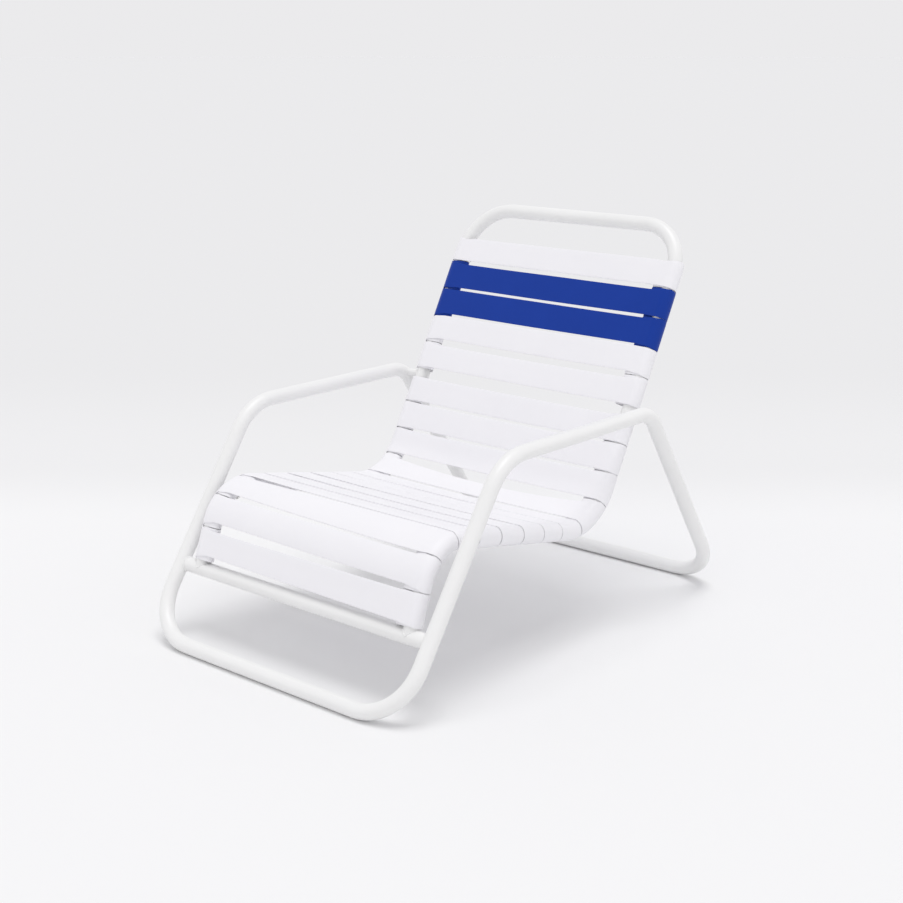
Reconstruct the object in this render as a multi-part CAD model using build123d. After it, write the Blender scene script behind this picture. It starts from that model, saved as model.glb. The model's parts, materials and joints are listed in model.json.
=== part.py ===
from build123d import *
import os
from math import atan2, cos, degrees, hypot, radians, sin, tan

# Strap beach chair, welded and non-folding.  Millimetres, +Z up, the sitter faces -Y, X is across.
# The origin is on the floor, in the middle of the chair's box.

# ---- driving dimensions -------------------------------------------------------------------
TUBE_D = 25.4                  # 1 in aluminium tube everywhere
TUBE_WALL = 1.65
END_CAP = 2.0                  # cap that closes each end of the crossbar behind the leg
TUBE_R = TUBE_D / 2
BORE_R = TUBE_R - TUBE_WALL

SIDE_X = 282.0                 # centre plane of each leg-and-arm side
RAIL_X = 236.0                 # centre plane of each seat and back rail
FLOOR_BAR_Y = 430.5            # floor bars, front at -Y and rear at +Y
ARM_Z = 367.5                  # arm centre height
ARM_FRONT_Y = -194.5           # corner where front leg and arm would meet
ARM_REAR_Y = 198.0             # corner where arm and rear leg would meet
CROSSBAR = (-354.0, 117.0)     # y, z of the front crossbar, 6 mm behind the front legs' centre lines
SEAT_FRONT = (-304.2, 255.5)   # y, z of the corner under the knees
SEAT_REAR = (101.5, 174.0)     # y, z of the corner between seat and back
HEAD = (366.0, 660.0)          # y, z of the head bar

FLOOR_BEND = 89.0              # centre-line radii of the bends
ARM_FRONT_BEND = 95.0
ARM_REAR_BEND = 55.0
SEAT_FRONT_BEND = 75.0
SEAT_REAR_BEND = 105.0
HEAD_BEND = 85.0

STRAP_T = 1.7                  # thickness of the 2 in vinyl strap
WRAP_FIT = 0.05                # between the first wrap and the tube
LAYER_R = TUBE_R + WRAP_FIT + STRAP_T      # outside of the first wrap
WRAP_R = LAYER_R + STRAP_T                 # outside of the second wrap, level with the span
LOOP_REACH = (26.0, 34.0)      # pull of the loop's curve at the rivet and under the span

# Straps along the rail's centre line, from the crossbar up to the head:
# start of the wraps, start of the span, end of the span, end of the wraps.
STRAPS = (
    (15.0, 21.0, 66.0, 69.0),
    (70.5, 78.5, 119.0, 121.8),
    (123.3, 125.0, 168.0, 168.5),
    (170.0, 175.5, 217.5, 219.5),
    (221.0, 223.0, 271.5, 274.0),
    (275.5, 279.0, 327.5, 331.0),
    (332.5, 335.0, 383.5, 384.5),
    (386.0, 387.0, 434.0, 434.5),
    (436.0, 437.5, 487.0, 488.5),
    (490.0, 494.0, 552.5, 560.0),
    (561.5, 562.5, 615.0, 616.5),
    (618.0, 619.5, 668.0, 669.5),
    (671.0, 672.5, 718.0, 720.0),
    (737.5, 740.0, 785.5, 790.5),
    (792.0, 798.0, 844.0, 845.0),
    (846.5, 848.0, 896.0, 897.5),
    (899.0, 901.0, 948.5, 951.0),
    (952.5, 955.0, 1002.0, 1002.0),
)
BLUE_STRAPS = (15, 16)         # places in the list above

SPACER_D = 13.0                # rod welded between back rail and arm, in the wide strap gap
SPACER_S = 728.7
SLEEVE_D = 2 * BORE_R - 0.2    # splice inside the rear floor bar
SLEEVE_WALL = 1.5
SLEEVE_LENGTH = 70.0
SEAM = 2.0                     # weld between the two ends of the base tube, ground flush

RIVET_SHANK_D = 4.8            # nylon rivet at each strap end, behind the rail
RIVET_ANGLE = 135.0            # round the rail from outboard, so half way from behind to inboard
RIVET_HEAD_D = 10.0
RIVET_HEAD_T = 1.6
RIVET_LIFT = 0.35              # head above the tangent plane, for the bend under the knees
RIVET_TIP = 3.0                # shank beyond the tube wall
RIVET_HOLE_D = 5.0


# ---- the rail's centre line, seen from the side -------------------------------------------
def corner_tangent(before, corner, after, radius):
    """length cut off each side of a corner by a bend, and the turn in radians"""
    into = atan2(corner[1] - before[1], corner[0] - before[0])
    out = atan2(after[1] - corner[1], after[0] - corner[0])
    turn = out - into
    return radius * tan(abs(turn) / 2), turn, into, out


def rail_stretches():
    """straight and bent stretches as (start s, end s, y, z, heading, signed radius or None)"""
    points = (CROSSBAR, SEAT_FRONT, SEAT_REAR, HEAD)
    bends = (None, SEAT_FRONT_BEND, SEAT_REAR_BEND, None)
    stretches = []
    s = 0.0
    y, z = CROSSBAR
    for i in (1, 2, 3):
        heading = atan2(points[i][1] - points[i - 1][1], points[i][0] - points[i - 1][0])
        cut = 0.0
        if bends[i]:
            cut, turn, _, _ = corner_tangent(points[i - 1], points[i], points[i + 1], bends[i])
        length = hypot(points[i][0] - y, points[i][1] - z) - cut
        stretches.append((s, s + length, y, z, heading, None))
        s += length
        y += length * cos(heading)
        z += length * sin(heading)
        if bends[i]:
            radius = bends[i] if turn > 0 else -bends[i]
            arc = abs(turn) * bends[i]
            stretches.append((s, s + arc, y, z, heading, radius))
            s += arc
            centre_y = y - radius * sin(heading)
            centre_z = z + radius * cos(heading)
            heading += turn
            y = centre_y + radius * sin(heading)
            z = centre_z - radius * cos(heading)
    return stretches


RAIL = rail_stretches()
HEAD_BEND_S = RAIL[-1][1] - HEAD_BEND      # where the head bend starts


def rail_at(s):
    """y, z and heading of the rail's centre line at s"""
    for start, end, y, z, heading, radius in RAIL:
        if s <= end:
            break
    step = s - start
    if radius is None:
        return y + step * cos(heading), z + step * sin(heading), heading
    later = heading + step / radius
    centre_y = y - radius * sin(heading)
    centre_z = z + radius * cos(heading)
    return centre_y + radius * sin(later), centre_z - radius * cos(later), later


def rail_plane(s, x=0.0):
    """plane square to the rail: local x is across, local y points behind the strap"""
    y, z, heading = rail_at(s)
    return Plane(origin=(x, y, z), x_dir=(1, 0, 0), z_dir=(0, cos(heading), sin(heading)))


def along_rail(section, start, end):
    """a flat section carried along the rail from start to end, straight or bent"""
    solid = None
    for first, last, y, z, heading, radius in RAIL:
        a = max(start, first)
        b = min(end, last)
        if b - a < 1e-6:
            continue
        face = rail_plane(a) * section
        if radius is None:
            piece = extrude(face, b - a, dir=(0, cos(heading), sin(heading)))
        else:
            centre = (0, y - radius * sin(heading), z + radius * cos(heading))
            piece = revolve(face, Axis(centre, (1, 0, 0)), degrees((b - a) / radius))
        solid = piece if solid is None else solid + piece
    return solid


# ---- tubes --------------------------------------------------------------------------------
def tube_along(path, start_dir):
    """hollow round tube along a path"""
    ring = Circle(TUBE_R) - Circle(BORE_R)
    return sweep(Plane(origin=path @ 0, z_dir=start_dir) * ring, path)


def solid_along(path, start_dir):
    """the same tube, filled, for cutting what is welded to it"""
    return sweep(Plane(origin=path @ 0, z_dir=start_dir) * Circle(TUBE_R), path)


def base_half_path():
    """left half of the base loop: floor bar, front leg, arm, rear leg, floor bar to the seam"""
    corners = [
        (0, -FLOOR_BAR_Y, TUBE_R),
        (SIDE_X, -FLOOR_BAR_Y, TUBE_R),
        (SIDE_X, ARM_FRONT_Y, ARM_Z),
        (SIDE_X, ARM_REAR_Y, ARM_Z),
        (SIDE_X, FLOOR_BAR_Y, TUBE_R),
        (SEAM / 2, FLOOR_BAR_Y, TUBE_R),
    ]
    return FilletPolyline(*corners, radius=[FLOOR_BEND, ARM_FRONT_BEND, ARM_REAR_BEND, FLOOR_BEND])


def rail_half_path():
    """left rail from the crossbar over seat and back to the middle of the head bar"""
    corners = [
        (RAIL_X, *CROSSBAR),
        (RAIL_X, *SEAT_FRONT),
        (RAIL_X, *SEAT_REAR),
        (RAIL_X, *HEAD),
        (0, *HEAD),
    ]
    return FilletPolyline(*corners, radius=[SEAT_FRONT_BEND, SEAT_REAR_BEND, HEAD_BEND])


def both_sides(half):
    return half + half.mirror(Plane.YZ)


def rail_start_dir():
    heading = RAIL[0][4]
    return (0, cos(heading), sin(heading))


def across_rod(y, z, radius, x_from, x_to):
    plane = Plane(origin=(x_from, y, z), z_dir=(1, 0, 0))
    return extrude(plane * Circle(radius), x_to - x_from)


def base_tube():
    return both_sides(tube_along(base_half_path(), (1, 0, 0)))


def front_crossbar():
    bore_end = SIDE_X - END_CAP
    bar = across_rod(*CROSSBAR, TUBE_R, -SIDE_X, SIDE_X) - across_rod(*CROSSBAR, BORE_R, -bore_end, bore_end)
    leg = solid_along(base_half_path(), (1, 0, 0))
    bar = bar - leg - leg.mirror(Plane.YZ)
    return max(bar.solids(), key=lambda solid: solid.volume)


def seat_back_tube(holes):
    half = tube_along(rail_half_path(), rail_start_dir())
    tube = both_sides(half) - across_rod(*CROSSBAR, TUBE_R, -SIDE_X, SIDE_X)
    tube = max(tube.solids(), key=lambda solid: solid.volume)
    return tube - holes


def spacer(side):
    """short rod between the back rail and the arm's rear bend, its ends coped to both"""
    y, z, _ = rail_at(SPACER_S)
    rod = across_rod(y, z, SPACER_D / 2, RAIL_X, SIDE_X)
    rod = rod - solid_along(rail_half_path(), rail_start_dir()) - solid_along(base_half_path(), (1, 0, 0))
    middle = Vector((RAIL_X + SIDE_X) / 2, y, z)
    rod = min(rod.solids(), key=lambda solid: (solid.center() - middle).length)
    return rod if side > 0 else rod.mirror(Plane.YZ)


def splice_sleeve():
    sleeve = across_rod(FLOOR_BAR_Y, TUBE_R, SLEEVE_D / 2, -SLEEVE_LENGTH / 2, SLEEVE_LENGTH / 2)
    bore = across_rod(FLOOR_BAR_Y, TUBE_R, SLEEVE_D / 2 - SLEEVE_WALL, -SLEEVE_LENGTH, SLEEVE_LENGTH)
    return sleeve - bore


def splice_weld():
    """ring of weld metal in the seam, as thick as the tube wall"""
    ring = across_rod(FLOOR_BAR_Y, TUBE_R, TUBE_R, -SEAM / 2, SEAM / 2)
    return ring - across_rod(FLOOR_BAR_Y, TUBE_R, BORE_R, -SEAM, SEAM)


# ---- straps and rivets --------------------------------------------------------------------
def wrap_section():
    """the strap twice round the left rail: snug, then a loose loop from the rivet to the span"""
    snug = Circle(LAYER_R) - Circle(TUBE_R + WRAP_FIT)
    middle_r = LAYER_R + STRAP_T / 2
    outer = trace(CenterArc((0, 0), middle_r, -90, RIVET_ANGLE + 90), STRAP_T)
    at_rivet = Vector(cos(radians(RIVET_ANGLE)), sin(radians(RIVET_ANGLE)))
    leaving = Vector(-at_rivet.Y, at_rivet.X)
    under_span = Vector(0, -LAYER_R + STRAP_T / 2)
    start = at_rivet * middle_r
    pulled_in = under_span - Vector(LOOP_REACH[1], 0)
    curve = Bezier(start, start + leaving * LOOP_REACH[0], pulled_in, under_span)
    loop = trace(curve, STRAP_T)
    return Pos(RAIL_X, 0) * (snug + outer + loop)


def span_section():
    """the single sheet on the sitter's side, from rail to rail"""
    return Pos(0, -LAYER_R - STRAP_T / 2) * Rectangle(2 * RAIL_X, STRAP_T)


def head_wrap(end):
    """what the top strap's wrap covers of the head bend"""
    y, z, heading = rail_at(HEAD_BEND_S)
    up = Vector(0, cos(heading), sin(heading))
    square = Vector(0, -sin(heading), cos(heading))
    face = rail_plane(HEAD_BEND_S) * wrap_section()
    centre = Vector(RAIL_X - HEAD_BEND, y, z)
    turn = degrees((end - HEAD_BEND_S) / HEAD_BEND)
    wrap = revolve(face, Axis(centre, square), turn)
    if wrap.center().dot(up) < centre.dot(up):
        wrap = revolve(face, Axis(centre, -square), turn)
    return wrap


def strap(index):
    wrap_start, span_start, span_end, wrap_end = STRAPS[index]
    left = along_rail(wrap_section(), wrap_start, min(wrap_end, HEAD_BEND_S))
    if wrap_end > HEAD_BEND_S:
        left = left + head_wrap(wrap_end)
    span = along_rail(span_section(), span_start, span_end)
    body = left + span + left.mirror(Plane.YZ)
    centre = rivet_place(index)
    return body - rivet_hole(centre, 1) - rivet_hole(centre, -1)


def rivet_place(index):
    wrap_start, _, _, wrap_end = STRAPS[index]
    return (wrap_start + min(wrap_end, HEAD_BEND_S)) / 2


def rivet_direction(plane, side):
    """out of the rail, behind it and inboard"""
    angle = radians(RIVET_ANGLE)
    return plane.x_dir * (side * cos(angle)) + plane.y_dir * sin(angle)


def rivet_hole(s, side):
    plane = rail_plane(s, side * RAIL_X)
    hole_plane = Plane(origin=plane.origin, z_dir=rivet_direction(plane, side))
    return extrude(hole_plane * Circle(RIVET_HOLE_D / 2), WRAP_R + 2)


def rivet(s, side):
    """snap rivet through both wraps and the tube wall, with its head behind the rail"""
    plane = rail_plane(s, side * RAIL_X)
    out = rivet_direction(plane, side)
    seat = WRAP_R + RIVET_LIFT
    inner_end = BORE_R - RIVET_TIP
    shank_plane = Plane(origin=plane.origin + out * inner_end, z_dir=out)
    shank = extrude(shank_plane * Circle(RIVET_SHANK_D / 2), seat - inner_end + RIVET_HEAD_T / 2)
    head_plane = Plane(origin=plane.origin + out * seat, z_dir=out)
    head = extrude(head_plane * Circle(RIVET_HEAD_D / 2), RIVET_HEAD_T)
    outer_face = head.faces().sort_by(Axis(plane.origin, out))[-1]
    head = fillet(outer_face.edges(), RIVET_HEAD_T * 0.6)
    return shank + head


# ---- write the nodes ----------------------------------------------------------------------
def write(name, shape):
    export_step(shape, "parts/" + name + ".step")


def main():
    os.makedirs("parts", exist_ok=True)
    places = [rivet_place(index) for index in range(len(STRAPS))]
    holes = [rivet_hole(s, side) for s in places for side in (1, -1)]
    write("base_tube", base_tube())
    write("base_splice_sleeve", splice_sleeve())
    write("base_splice_weld", splice_weld())
    write("seat_back_tube", seat_back_tube(holes))
    write("front_crossbar", front_crossbar())
    write("back_spacer_left", spacer(1))
    write("back_spacer_right", spacer(-1))
    for index in range(len(STRAPS)):
        place = len(STRAPS) - index
        colour = "blue" if index in BLUE_STRAPS else "white"
        write(f"strap_{place:02d}_{colour}", strap(index))
    write("strap_rivets_left", Compound([rivet(s, 1) for s in places]))
    write("strap_rivets_right", Compound([rivet(s, -1) for s in places]))


main()
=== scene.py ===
import json
import random
from math import atan2, cos, hypot, pi, radians, sin, sqrt, tan

import bpy
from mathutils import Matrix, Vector


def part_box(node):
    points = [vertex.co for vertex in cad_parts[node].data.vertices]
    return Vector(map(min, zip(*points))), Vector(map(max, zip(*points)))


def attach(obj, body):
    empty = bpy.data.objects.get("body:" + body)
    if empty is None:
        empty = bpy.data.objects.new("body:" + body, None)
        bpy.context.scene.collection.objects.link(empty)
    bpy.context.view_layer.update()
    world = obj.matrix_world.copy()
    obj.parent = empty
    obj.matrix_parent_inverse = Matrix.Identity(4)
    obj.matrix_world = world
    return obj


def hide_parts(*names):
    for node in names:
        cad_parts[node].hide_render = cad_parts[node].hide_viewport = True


# White tube beach chair with wide vinyl straps.  Metres, +Z up, the sitter faces -Y.

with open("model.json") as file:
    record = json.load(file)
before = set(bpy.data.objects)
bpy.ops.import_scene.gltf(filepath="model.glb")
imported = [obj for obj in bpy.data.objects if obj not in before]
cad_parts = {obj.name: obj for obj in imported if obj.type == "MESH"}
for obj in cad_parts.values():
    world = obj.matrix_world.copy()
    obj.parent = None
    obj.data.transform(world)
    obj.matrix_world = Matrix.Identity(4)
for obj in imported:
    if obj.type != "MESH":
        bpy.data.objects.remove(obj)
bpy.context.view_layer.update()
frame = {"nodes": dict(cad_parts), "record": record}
MM = 0.001

# ---- sizes, read from the frame where a box gives them --------------------------------------
BASE_LOW, BASE_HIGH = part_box("base_tube")
SEAT_LOW, SEAT_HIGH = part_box("seat_back_tube")
BAR_LOW, BAR_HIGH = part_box("front_crossbar")
TUBE_R = (BAR_HIGH[2] - BAR_LOW[2]) / 2
SIDE_X = BASE_HIGH[0] - TUBE_R
RAIL_X = SEAT_HIGH[0] - TUBE_R
CROSSBAR = ((BAR_LOW[1] + BAR_HIGH[1]) / 2, (BAR_LOW[2] + BAR_HIGH[2]) / 2)
HEAD = (SEAT_HIGH[1] - TUBE_R, SEAT_HIGH[2] - TUBE_R)
SEAT_FRONT = (-304.2 * MM, 255.5 * MM)
SEAT_REAR = (101.5 * MM, 174.0 * MM)
SEAT_FRONT_BEND = 75 * MM
SEAT_REAR_BEND = 105 * MM
HEAD_BEND = 85 * MM
ARM_REAR_BEND = 55 * MM
FLOOR_Y = BASE_HIGH[1] - TUBE_R
ARM_Z = BASE_HIGH[2] - TUBE_R
ARM_FRONT_Y = -194.5 * MM
ARM_REAR_Y = 198.0 * MM
STRAP_T = 1.7 * MM
LAYER_R = TUBE_R + STRAP_T / 2 + 0.05 * MM      # middle of the first wrap's thickness
OUTER_R = LAYER_R + STRAP_T                     # middle of the second wrap's and the span's
IN_FRONT = -pi / 2                              # the rail's front, where the span meets it
RIVET_ANGLE = radians(135)                      # from outboard, so half way from behind to inboard
RIVET_OVERLAP = radians(28)                     # how far the first wrap's end runs past the rivet
LOOP_REACH = (26 * MM, 34 * MM)                 # pull of the loose loop at the rivet and under the span
EDGE_INSET = 0.9 * MM                           # rounding of a strap's long edges
EDGE_ANGLES = (60, 30, 0, -30, -60)
EDGE_SHARE = 0.86                               # half thickness where the rounded edges start
CROWN = 0.16                                    # how much thinner the outer face is at its edges
UNDER_SHARE = 0.92                              # half thickness on the side that faces the rail
NOTCH_LENGTH = 22 * MM                          # end of the span that spreads toward the wrap's width
NOTCH_SHARE = 0.45                              # part of that spread reached where the span meets the rail
EDGE_WANDER = 0.30 * MM                         # unevenness of the second wrap's edges
INNER_SETBACK = 0.8 * MM                        # how much narrower the first wrap is at each edge
SPAN_TWIST = 0.35 * MM                          # slow twist of the span
SPAN_CROWDING = 1.35                            # the span's stations lie closer together near the rail
STRAP_SEED = 100
FOLLOW_FROM = 205 * MM                          # distance from the middle where a strap joins the head bend
WELD_R = 1.3 * MM
SPACER_WELD_R = 1.0 * MM
RIPPLE_LENGTH = 2.6 * MM
RIPPLE_SHARE = 0.10
WELD_AROUND = 12
WELD_STEPS = 240

# Straps along the rail's centre line in mm, from the crossbar up to the head: start of the wraps,
# start of the span, end of the span, end of the wraps, then how much lower the span's two edges
# are at +X than at -X, and how far its two edges hang at mid span.
STRAPS = (
    (15.0, 21.2, 66.4, 69.2, 6.1, -0.5, 0.0, 0.4),
    (70.2, 78.6, 119.0, 122.2, 6.0, 4.0, 0.8, 0.4),
    (123.1, 124.8, 168.8, 168.9, 8.0, -4.0, 2.4, 0.2),
    (169.8, 175.2, 217.5, 219.7, 5.5, 1.0, 2.0, 1.4),
    (220.8, 223.0, 271.5, 273.7, 0.5, -0.5, 1.8, 2.2),
    (275.7, 279.0, 327.5, 330.7, 1.0, 0.5, 2.6, 2.0),
    (332.7, 335.0, 383.5, 384.9, -0.5, 0.5, 1.8, 2.4),
    (385.7, 387.0, 434.0, 434.8, 0.5, 0.5, 2.8, 2.2),
    (435.6, 437.5, 487.0, 488.7, 0.5, 0.0, 2.0, 2.8),
    (489.9, 494.0, 552.5, 560.1, 0.5, 1.0, 2.5, 13.0),
    (561.3, 562.5, 615.0, 616.7, 1.0, 1.0, 1.2, 1.0),
    (617.6, 619.5, 668.0, 669.7, 0.5, 1.5, 1.0, 1.6),
    (670.7, 672.5, 718.0, 719.8, 1.5, 1.0, 1.4, 0.8),
    (737.7, 740.0, 785.5, 790.8, 1.5, 1.5, 0.8, 1.2),
    (791.8, 798.0, 844.0, 841.3, 2.0, 1.5, 1.2, 0.6),
    (842.3, 848.0, 896.1, 898.1, 2.5, 3.6, 0.4, 0.6),
    (899.0, 901.3, 948.5, 954.3, 2.4, 3.0, 0.6, 0.5),
    (955.4, 956.5, 1002.0, 1002.0, 2.0, 0.5, 0.6, 0.0),
)
# Where a wrap's start or end differs between the sides, in mm: start at -X, start at +X,
# end at -X, end at +X.
WRAP_LEAN = {
    0: (0.0, 0.0, 1.6, -1.6),
    1: (1.6, -1.6, 0.0, 0.0),
    14: (0.0, 0.0, -0.6, 0.8),
    15: (-0.6, 0.8, 0.0, 0.0),
    16: (0.0, 0.0, 2.4, -2.2),
    17: (2.4, -2.2, 0.0, 0.0),
}
BLUE_STRAPS = (15, 16)


# ---- the rail's centre line, seen from the side ---------------------------------------------
def rail_stretches():
    """straight and bent stretches: (start, end, y, z, heading, bend radius or None)"""
    points = (CROSSBAR, SEAT_FRONT, SEAT_REAR, HEAD)
    bends = (None, SEAT_FRONT_BEND, SEAT_REAR_BEND, None)
    stretches = []
    s = 0.0
    y, z = CROSSBAR
    for i in (1, 2, 3):
        heading = atan2(points[i][1] - points[i - 1][1], points[i][0] - points[i - 1][0])
        cut = 0.0
        if bends[i]:
            nxt = atan2(points[i + 1][1] - points[i][1], points[i + 1][0] - points[i][0])
            turn = nxt - heading
            cut = bends[i] * tan(abs(turn) / 2)
        length = hypot(points[i][0] - y, points[i][1] - z) - cut
        stretches.append((s, s + length, y, z, heading, None))
        s += length
        y += length * cos(heading)
        z += length * sin(heading)
        if bends[i]:
            radius = bends[i] if turn > 0 else -bends[i]
            stretches.append((s, s + abs(turn) * bends[i], y, z, heading, radius))
            s += abs(turn) * bends[i]
            centre_y = y - radius * sin(heading)
            centre_z = z + radius * cos(heading)
            heading += turn
            y = centre_y + radius * sin(heading)
            z = centre_z - radius * cos(heading)
    return stretches


RAIL = rail_stretches()
HEAD_BEND_S = RAIL[-1][1] - HEAD_BEND


def rail_at(s):
    """y, z and heading of the rail's centre line at a length along it"""
    for start, end, y, z, heading, radius in RAIL:
        if s <= end:
            break
    step = s - start
    if radius is None:
        return y + step * cos(heading), z + step * sin(heading), heading
    later = heading + step / radius
    centre_y = y - radius * sin(heading)
    centre_z = z + radius * cos(heading)
    return centre_y + radius * sin(later), centre_z - radius * cos(later), later


def smooth(low, high, value):
    t = min(1.0, max(0.0, (value - low) / (high - low)))
    return t * t * (3 - 2 * t)


def place(x, depth, s):
    """a point given across the chair, behind the sitter's face, and along the rail"""
    over = s - HEAD_BEND_S
    if over > 0:
        follow = smooth(FOLLOW_FROM, RAIL_X, abs(x))
        reach = abs(x) - (RAIL_X - HEAD_BEND)
        angle = over / HEAD_BEND
        bent_x = RAIL_X - HEAD_BEND + reach * cos(angle)
        bent_s = HEAD_BEND_S + reach * sin(angle)
        x = (abs(x) * (1 - follow) + bent_x * follow) * (1 if x > 0 else -1)
        s = s * (1 - follow) + bent_s * follow
    y, z, heading = rail_at(s)
    return Vector((x, y + depth * sin(heading), z - depth * cos(heading)))


# ---- mesh helpers ---------------------------------------------------------------------------
def make_object(name, points, faces, slot_name, uvs=None):
    mesh = bpy.data.meshes.new(name)
    mesh.from_pydata([tuple(p) for p in points], [], faces)
    if uvs:
        layer = mesh.uv_layers.new(name="UVMap")
        for loop in mesh.loops:
            layer.data[loop.index].uv = uvs[loop.vertex_index]
    mesh.validate()
    mesh.update()
    for polygon in mesh.polygons:
        polygon.use_smooth = True
    piece = bpy.data.objects.new(name, mesh)
    bpy.context.scene.collection.objects.link(piece)
    piece.data.materials.append(MATERIALS[slot_name])
    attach(piece, "root")
    return piece


def ring_faces(rings, around, closed_path=False, caps=False):
    faces = []
    last = rings if closed_path else rings - 1
    for i in range(last):
        j = (i + 1) % rings
        for k in range(around):
            m = (k + 1) % around
            faces.append((i * around + k, i * around + m, j * around + m, j * around + k))
    if caps:
        faces.append(tuple(range(around - 1, -1, -1)))
        faces.append(tuple(range((rings - 1) * around, rings * around)))
    return faces


# ---- straps ---------------------------------------------------------------------------------
def strap_section():
    """closed outline of the strap's section: (position across from -1 to 1, through, edge inset)"""
    half = STRAP_T / 2
    outline = []
    for step in range(13):
        a = -1 + step / 6
        outline.append((a, half * (1 - CROWN * a ** 4), EDGE_INSET))
    for angle in EDGE_ANGLES:
        turn = radians(angle)
        outline.append((1.0, half * EDGE_SHARE * sin(turn), EDGE_INSET * (1 - cos(turn))))
    for step in range(9):
        a = 1 - step / 4
        outline.append((a, -half * UNDER_SHARE, EDGE_INSET))
    for angle in reversed(EDGE_ANGLES):
        turn = radians(angle)
        outline.append((-1.0, half * EDGE_SHARE * sin(turn), EDGE_INSET * (1 - cos(turn))))
    return outline


def round_rail(radius, angle):
    """a station on a wrap: x, depth, outward normal and angle from outboard"""
    return (RAIL_X + radius * cos(angle), radius * sin(angle), (cos(angle), sin(angle)), angle)


def loop_station(t):
    """the loose second wrap, from the rivet behind the rail to the front, under the span"""
    start = Vector((cos(RIVET_ANGLE), sin(RIVET_ANGLE))) * OUTER_R
    leaving = Vector((-sin(RIVET_ANGLE), cos(RIVET_ANGLE))) * LOOP_REACH[0]
    end = Vector((0, -LAYER_R))
    pulls = (start, start + leaving, end - Vector((LOOP_REACH[1], 0)), end)
    u = 1 - t
    at = u ** 3 * pulls[0] + 3 * u * u * t * pulls[1] + 3 * u * t * t * pulls[2] + t ** 3 * pulls[3]
    way = u * u * (pulls[1] - pulls[0]) + 2 * u * t * (pulls[2] - pulls[1]) + t * t * (pulls[3] - pulls[2])
    way.normalize()
    return (RAIL_X + at.x, at.y, (way.y, -way.x), RIVET_ANGLE + t * (1.5 * pi - RIVET_ANGLE))


def strap_path():
    """the +X half of the strap's run, from mid span to the riveted end: (x, depth, normal, angle, zone)"""
    stations = []
    spans = 30
    for i in range(spans):
        x = RAIL_X * (1 - (1 - i / spans) ** SPAN_CROWDING)
        stations.append((x, -OUTER_R, (0, -1), IN_FRONT, "span"))
    turns = 34
    for i in range(turns):
        angle = IN_FRONT + (RIVET_ANGLE - IN_FRONT) * i / turns
        stations.append((*round_rail(OUTER_R, angle), "outer"))
    loops = 26
    for i in range(loops):
        stations.append((*loop_station(i / loops), "loop"))
    inner_turns = 40
    for i in range(inner_turns):
        angle = IN_FRONT + (RIVET_ANGLE + RIVET_OVERLAP - IN_FRONT) * i / (inner_turns - 1)
        stations.append((*round_rail(LAYER_R, angle), "inner"))
    return stations


SECTION = strap_section()
HALF_PATH = strap_path()


def strap(name, index):
    """one strap from its riveted end at -X, round the rail, across, and round the rail to +X's end"""
    wrap_start, low, high, wrap_end, low_drop, high_drop, low_sag, high_sag = [
        v * MM for v in STRAPS[index]
    ]
    lean = [v * MM for v in WRAP_LEAN.get(index, (0, 0, 0, 0))]
    chance = random.Random(STRAP_SEED + index)
    phase = [chance.uniform(0, 2 * pi) for _ in range(6)]
    mirrored = [(-x, d, (-n[0], n[1]), a, zone) for x, d, n, a, zone in reversed(HALF_PATH[1:])]
    points = []
    uvs = []
    travelled = 0.0
    before = None
    for x, depth, normal, angle, zone in mirrored + HALF_PATH:
        plus_side = x > 0
        if zone == "span":
            widen = NOTCH_SHARE * smooth(RAIL_X - NOTCH_LENGTH, RAIL_X, abs(x))
        elif zone == "outer":
            widen = NOTCH_SHARE + (1 - NOTCH_SHARE) * smooth(IN_FRONT, IN_FRONT / 3, angle)
        else:
            widen = 1.0
        tilt = 0.5 * x / RAIL_X
        edge_low = low - low_drop * tilt
        edge_high = high - high_drop * tilt
        side_start = wrap_start + (lean[1] if plus_side else lean[0])
        side_end = wrap_end + (lean[3] if plus_side else lean[2])
        edge_low += (side_start - edge_low) * widen
        edge_high += (side_end - edge_high) * widen
        shift = 0 if plus_side else 2
        if zone == "outer":
            edge_low += EDGE_WANDER * widen * sin(angle * 1.3 + phase[shift])
            edge_high += EDGE_WANDER * widen * sin(angle * 1.3 + phase[shift + 1])
        elif zone == "inner":
            edge_low += INNER_SETBACK
            edge_high -= INNER_SETBACK
        if before:
            travelled += hypot(x - before[0], depth - before[1])
        before = (x, depth)
        hang = max(0.0, 1 - (x / RAIL_X) ** 2) if zone == "span" else 0.0
        wave = sin(2.1 * x / RAIL_X + phase[4]) + 0.5 * sin(5.3 * x / RAIL_X + phase[5])
        for across, through, inset in SECTION:
            share = (across + 1) / 2
            s = edge_low + inset + (edge_high - edge_low - 2 * inset) * share
            point = place(x + normal[0] * through, depth + normal[1] * through, s)
            point.z -= hang * (low_sag * (1 - share) ** 2 + high_sag * share ** 2)
            point.z -= hang * SPAN_TWIST * wave * (share - 0.5)
            points.append(point)
            uvs.append((travelled, s))
    faces = ring_faces(len(mirrored) + len(HALF_PATH), len(SECTION), caps=True)
    colour = "strap_blue" if index in BLUE_STRAPS else "strap_white"
    piece = make_object(name + "_vinyl", points, faces, colour, uvs)
    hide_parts(name)


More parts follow.
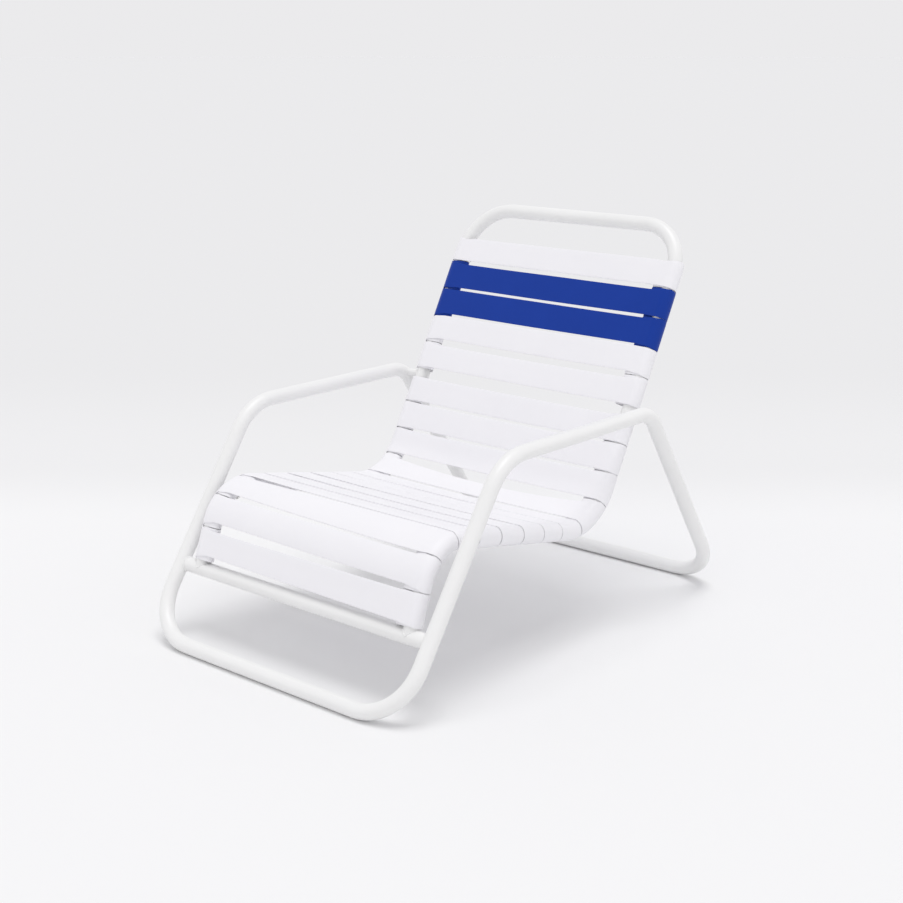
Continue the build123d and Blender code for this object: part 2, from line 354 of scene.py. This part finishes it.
# ---- welds ----------------------------------------------------------------------------------
def weld_bead(name, curve, middle, radius):
    """a rippled bead along a closed curve; middle is a point inside it"""
    count = len(curve)
    lengths = [0.0]
    for i in range(count):
        lengths.append(lengths[-1] + (curve[(i + 1) % count] - curve[i]).length)
    ripples = max(6, round(lengths[-1] / RIPPLE_LENGTH))
    points = []
    for i in range(count):
        way = (curve[(i + 1) % count] - curve[i - 1]).normalized()
        out = curve[i] - middle
        out = (out - way * out.dot(way)).normalized()
        other = way.cross(out)
        wave = sin(2 * pi * ripples * lengths[i] / lengths[-1])
        r = radius * (1 + RIPPLE_SHARE * wave)
        for k in range(WELD_AROUND):
            a = 2 * pi * k / WELD_AROUND
            points.append(curve[i] + out * (r * cos(a)) + other * (r * sin(a)))
    make_object(name, points, ring_faces(count, WELD_AROUND, closed_path=True), "frame")


def circle(radius):
    """points round a circle, as pairs from its middle"""
    turns = [2 * pi * i / WELD_STEPS for i in range(WELD_STEPS)]
    return [(radius * cos(turn), radius * sin(turn)) for turn in turns]


def crossbar_weld(side, word):
    """where the crossbar meets the leg, which passes a little in front of it"""
    leg = Vector((0, ARM_FRONT_Y + FLOOR_Y, ARM_Z - TUBE_R)).normalized()
    behind_leg = (CROSSBAR[0] + FLOOR_Y) * leg.z - (CROSSBAR[1] - TUBE_R) * leg.y
    curve = []
    for dy, dz in circle(TUBE_R):
        off = behind_leg + dy * leg.z - dz * leg.y
        reach = sqrt(max(0.0, TUBE_R ** 2 - off ** 2))
        curve.append(Vector((side * (SIDE_X - reach), CROSSBAR[0] + dy, CROSSBAR[1] + dz)))
    weld_bead("crossbar_weld_" + word, curve, Vector((side * (SIDE_X - TUBE_R), *CROSSBAR)), WELD_R)


def rail_foot_weld(side, word):
    """where the rail's lower end sits on the crossbar"""
    way = RAIL[0][4]
    curve = []
    for across, off in circle(TUBE_R):
        reach = abs(across)
        y = CROSSBAR[0] + reach * cos(way) - off * sin(way)
        z = CROSSBAR[1] + reach * sin(way) + off * cos(way)
        curve.append(Vector((side * RAIL_X + across, y, z)))
    y = CROSSBAR[0] + TUBE_R * cos(way)
    z = CROSSBAR[1] + TUBE_R * sin(way)
    weld_bead("rail_foot_weld_" + word, curve, Vector((side * RAIL_X, y, z)), WELD_R)


def spacer_welds(side, word):
    """where a spacer meets the back rail, and the bend between arm and rear leg"""
    low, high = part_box("back_spacer_right")
    y, z = (low[1] + high[1]) / 2, (low[2] + high[2]) / 2
    rod = (high[2] - low[2]) / 2
    back_way = RAIL[-1][4]
    turn = atan2(FLOOR_Y - ARM_REAR_Y, ARM_Z - TUBE_R)
    cut = ARM_REAR_BEND * tan((pi / 2 - turn) / 2)
    bend_y = ARM_REAR_Y - cut
    bend_z = ARM_Z - ARM_REAR_BEND
    inner = []
    outer = []
    for dy, dz in circle(rod):
        off = dy * sin(back_way) - dz * cos(back_way)
        inner.append(Vector((side * (RAIL_X + sqrt(TUBE_R ** 2 - off ** 2)), y + dy, z + dz)))
        off = hypot(y + dy - bend_y, z + dz - bend_z) - ARM_REAR_BEND
        outer.append(Vector((side * (SIDE_X - sqrt(TUBE_R ** 2 - off ** 2)), y + dy, z + dz)))
    at_rail = Vector((side * (RAIL_X + TUBE_R), y, z))
    at_arm = Vector((side * (SIDE_X - TUBE_R), y, z))
    weld_bead("spacer_rail_weld_" + word, inner, at_rail, SPACER_WELD_R)
    weld_bead("spacer_arm_weld_" + word, outer, at_arm, SPACER_WELD_R)


def welds():
    for side, word in ((1, "left"), (-1, "right")):
        crossbar_weld(side, word)
        rail_foot_weld(side, word)
        spacer_welds(side, word)


# ---- materials ------------------------------------------------------------------------------
def new_material(name):
    material = bpy.data.materials.new(name)
    material.use_nodes = True
    tree = material.node_tree
    return material, tree, tree.nodes["Principled BSDF"]


def noise(tree, vector, scale, detail=3.0, roughness=0.5):
    node = tree.nodes.new("ShaderNodeTexNoise")
    node.inputs["Scale"].default_value = scale
    node.inputs["Detail"].default_value = detail
    node.inputs["Roughness"].default_value = roughness
    tree.links.new(vector, node.inputs["Vector"])
    return node.outputs["Fac"]


def remap(tree, value, low, high):
    node = tree.nodes.new("ShaderNodeMapRange")
    node.inputs["To Min"].default_value = low
    node.inputs["To Max"].default_value = high
    tree.links.new(value, node.inputs["Value"])
    return node.outputs["Result"]


def mix_colour(tree, factor, first, second):
    node = tree.nodes.new("ShaderNodeMix")
    node.data_type = "RGBA"
    node.inputs["A"].default_value = (*first, 1)
    node.inputs["B"].default_value = (*second, 1)
    tree.links.new(factor, node.inputs["Factor"])
    return node.outputs["Result"]


def stretch(tree, output, scale):
    node = tree.nodes.new("ShaderNodeMapping")
    node.inputs["Scale"].default_value = scale
    tree.links.new(output, node.inputs["Vector"])
    return node.outputs["Vector"]


def bump(tree, heights, shader):
    """heights: (value, strength, distance) stacked into one normal"""
    normal = None
    for height, strength, distance in heights:
        node = tree.nodes.new("ShaderNodeBump")
        node.inputs["Strength"].default_value = strength
        node.inputs["Distance"].default_value = distance
        tree.links.new(height, node.inputs["Height"])
        if normal:
            tree.links.new(normal, node.inputs["Normal"])
        normal = node.outputs["Normal"]
    tree.links.new(normal, shader.inputs["Normal"])


def powder_coat():
    """satin white with a faint orange peel"""
    material, tree, shader = new_material("white_powder_coat")
    coords = tree.nodes.new("ShaderNodeTexCoord").outputs["Object"]
    cloud = noise(tree, coords, scale=9.0, detail=2.0)
    colour = mix_colour(tree, cloud, (0.835, 0.835, 0.83), (0.86, 0.86, 0.855))
    tree.links.new(colour, shader.inputs["Base Color"])
    peel = noise(tree, coords, scale=420.0, detail=2.0, roughness=0.4)
    fine = noise(tree, coords, scale=1500.0, detail=1.0)
    gloss = remap(tree, noise(tree, coords, scale=60.0), low=0.30, high=0.40)
    tree.links.new(gloss, shader.inputs["Roughness"])
    shader.inputs["IOR"].default_value = 1.5
    bump(tree, [(peel, 0.10, 0.0006), (fine, 0.05, 0.0002)], shader)
    return material


def vinyl(name, dark, light):
    """extruded strap: fine lines along its length over a leather-like grain"""
    material, tree, shader = new_material(name)
    coords = tree.nodes.new("ShaderNodeTexCoord")
    along = stretch(tree, coords.outputs["UV"], (14.0, 900.0, 1.0))
    streak = noise(tree, along, scale=1.0, detail=4.0, roughness=0.6)
    grain = tree.nodes.new("ShaderNodeTexVoronoi")
    grain.inputs["Scale"].default_value = 900.0
    tree.links.new(coords.outputs["UV"], grain.inputs["Vector"])
    cloud = noise(tree, coords.outputs["Object"], scale=14.0)
    colour = mix_colour(tree, cloud, dark, light)
    tree.links.new(colour, shader.inputs["Base Color"])
    tree.links.new(remap(tree, streak, low=0.34, high=0.46), shader.inputs["Roughness"])
    shader.inputs["Specular IOR Level"].default_value = 0.15
    bump(tree, [(streak, 0.12, 0.0003), (grain.outputs["Distance"], 0.10, 0.0003)], shader)
    return material


def nylon():
    material, tree, shader = new_material("white_nylon")
    coords = tree.nodes.new("ShaderNodeTexCoord").outputs["Object"]
    cloud = noise(tree, coords, scale=300.0)
    colour = mix_colour(tree, cloud, (0.78, 0.78, 0.75), (0.84, 0.84, 0.81))
    tree.links.new(colour, shader.inputs["Base Color"])
    shader.inputs["Roughness"].default_value = 0.42
    bump(tree, [(noise(tree, coords, scale=900.0), 0.15, 0.0002)], shader)
    return material


def bare_aluminium():
    """drawn tube, with fine lines along X"""
    material, tree, shader = new_material("bare_aluminium")
    coords = tree.nodes.new("ShaderNodeTexCoord").outputs["Object"]
    lines = noise(tree, stretch(tree, coords, (20.0, 1500.0, 1500.0)), scale=1.0)
    shader.inputs["Base Color"].default_value = (0.66, 0.67, 0.69, 1)
    shader.inputs["Metallic"].default_value = 1.0
    tree.links.new(remap(tree, lines, low=0.30, high=0.48), shader.inputs["Roughness"])
    bump(tree, [(lines, 0.15, 0.0002)], shader)
    return material


MATERIALS = {
    "frame": powder_coat(),
    "strap_white": vinyl("white_vinyl", (0.855, 0.848, 0.878), (0.880, 0.873, 0.898)),
    "strap_blue": vinyl("blue_vinyl", (0.005, 0.037, 0.29), (0.007, 0.043, 0.325)),
    "rivet": nylon(),
    "sleeve": bare_aluminium(),
}

for subpart in frame["record"]["subparts"]:
    node = frame["nodes"][subpart["node"]]
    for slot_place in node.material_slots:
        slot_place.material = MATERIALS[subpart["material_slot"]]

# The node names count the straps from the head down, STRAPS from the crossbar up.
strap_names = [name for name in frame["nodes"] if name.startswith("strap_") and "rivets" not in name]
for name in sorted(strap_names):
    strap(name, len(STRAPS) - int(name.split("_")[1]))
welds()


# ---- room, light and camera -----------------------------------------------------------------
CAMERA_AT = Vector((1.719, -1.9715, 0.991))
TURN = radians(40.9)
TILT = radians(15.0)
FLOOR_TONE = (0.851, 0.851, 0.856)
# painted shade: the floor's tone far away, darker where less light reaches a real studio floor and wall
FAR_SHADE_TONE = (0.759, 0.759, 0.7635)
LENS = 62.67
SENSOR = 36.0
FLOOR_REACH = 60.0
FADE_START = 0.50                               # beyond the chair's middle, in metres
AWAY_START = 1.9                                # on any other side, from the chair's middle, in metres
FADE_LENGTH = 1.6
FADE_MIDDLE = (0.30, 0.62)                      # this far into the fade, this much of the change is done
SKY_TINT = (0.99, 0.985, 1.0)
# Brightness of the sky by height, from the horizon at 0 to straight up at 1.
SKY_LEVELS = ((0.0, 0.84), (0.03, 0.84), (0.14, 0.90), (0.45, 0.88), (0.80, 0.60), (1.0, 0.60))
AHEAD = Vector((-sin(TURN), cos(TURN), 0))
ASIDE = Vector((cos(TURN), sin(TURN), 0))
UP = Vector((0, 0, 1))
KEY_FROM = UP - AHEAD * 0.07 + ASIDE * 0.05
KEY_STRENGTH = 1.18
KEY_SOFTNESS = radians(36)
FILL_FROM = UP * 0.45 - AHEAD + ASIDE * 0.25
FILL_STRENGTH = 0.12
FILL_SOFTNESS = radians(90)


def ramp(tree, value, stops):
    """a smooth colour ramp through (place, colour) stops"""
    node = tree.nodes.new("ShaderNodeValToRGB")
    node.color_ramp.interpolation = "EASE"
    marks = node.color_ramp.elements
    while len(marks) < len(stops):
        marks.new(0.5)
    for mark, (at, colour) in zip(marks, stops):
        mark.position = at
        mark.color = (*colour, 1)
    tree.links.new(value, node.inputs["Fac"])
    return node.outputs["Color"]


def studio_floor():
    """a wide round floor; behind the chair and far away it is painted darker, painted shade for the dimmer
    light there, and meets the pale sky
    """
    around = 128
    turns = [2 * pi * k / around for k in range(around)]
    mesh = bpy.data.meshes.new("studio_floor")
    rim = [(FLOOR_REACH * cos(a), FLOOR_REACH * sin(a), 0) for a in turns]
    mesh.from_pydata(rim, [], [range(around)])
    sheet = bpy.data.objects.new("studio_floor", mesh)
    bpy.context.scene.collection.objects.link(sheet)
    material, tree, shader = new_material("painted_floor")
    coords = tree.nodes.new("ShaderNodeTexCoord").outputs["Object"]
    turned = tree.nodes.new("ShaderNodeMapping")
    turned.vector_type = "TEXTURE"
    turned.inputs["Rotation"].default_value = (0, 0, TURN)
    tree.links.new(coords, turned.inputs["Vector"])
    split = tree.nodes.new("ShaderNodeSeparateXYZ")
    tree.links.new(turned.outputs["Vector"], split.inputs["Vector"])
    behind = tree.nodes.new("ShaderNodeMapRange")
    behind.inputs["From Min"].default_value = FADE_START
    behind.inputs["From Max"].default_value = FADE_START + FADE_LENGTH
    tree.links.new(split.outputs["Y"], behind.inputs["Value"])
    distance = tree.nodes.new("ShaderNodeVectorMath")
    distance.operation = "LENGTH"
    tree.links.new(coords, distance.inputs[0])
    away = tree.nodes.new("ShaderNodeMapRange")
    away.inputs["From Min"].default_value = AWAY_START
    away.inputs["From Max"].default_value = AWAY_START + FADE_LENGTH
    tree.links.new(distance.outputs["Value"], away.inputs["Value"])
    more = tree.nodes.new("ShaderNodeMath")
    more.operation = "MAXIMUM"
    tree.links.new(behind.outputs["Result"], more.inputs[0])
    tree.links.new(away.outputs["Result"], more.inputs[1])
    at, done = FADE_MIDDLE
    middle = tuple(near + (far - near) * done for near, far in zip(FLOOR_TONE, FAR_SHADE_TONE))
    # the floor's own tone near the chair, blending into painted shade far away
    tone = ramp(tree, more.outputs["Value"], ((0.0, FLOOR_TONE), (at, middle), (1.0, FAR_SHADE_TONE)))
    tree.links.new(tone, shader.inputs["Base Color"])
    shader.inputs["Roughness"].default_value = 0.55
    shader.inputs["Specular IOR Level"].default_value = 0.0
    mesh.materials.append(material)


def studio_sky():
    """soft light from all round, strongest from the height of large side panels"""
    world = bpy.data.worlds.new("studio")
    bpy.context.scene.world = world
    world.use_nodes = True
    tree = world.node_tree
    way = tree.nodes.new("ShaderNodeTexCoord").outputs["Generated"]
    split = tree.nodes.new("ShaderNodeSeparateXYZ")
    tree.links.new(way, split.inputs["Vector"])
    stops = [(at, tuple(level * c for c in SKY_TINT)) for at, level in SKY_LEVELS]
    shade = ramp(tree, split.outputs["Z"], stops)
    tree.links.new(shade, tree.nodes["Background"].inputs["Color"])


def sun_light(name, from_where, strength, softness):
    data = bpy.data.lights.new(name, "SUN")
    data.energy = strength
    data.angle = softness
    lamp = bpy.data.objects.new(name, data)
    bpy.context.scene.collection.objects.link(lamp)
    lamp.rotation_euler = (-from_where).to_track_quat("-Z", "Y").to_euler()


studio_floor()
studio_sky()
sun_light("key", KEY_FROM, KEY_STRENGTH, KEY_SOFTNESS)
sun_light("fill", FILL_FROM, FILL_STRENGTH, FILL_SOFTNESS)
bpy.context.scene.view_settings.view_transform = "Standard"

camera_data = bpy.data.cameras.new("camera")
camera_data.lens = LENS
camera_data.sensor_width = SENSOR
camera = bpy.data.objects.new("camera", camera_data)
bpy.context.scene.collection.objects.link(camera)
camera.location = CAMERA_AT
camera.rotation_euler = (pi / 2 - TILT, 0, TURN)
bpy.context.scene.camera = camera

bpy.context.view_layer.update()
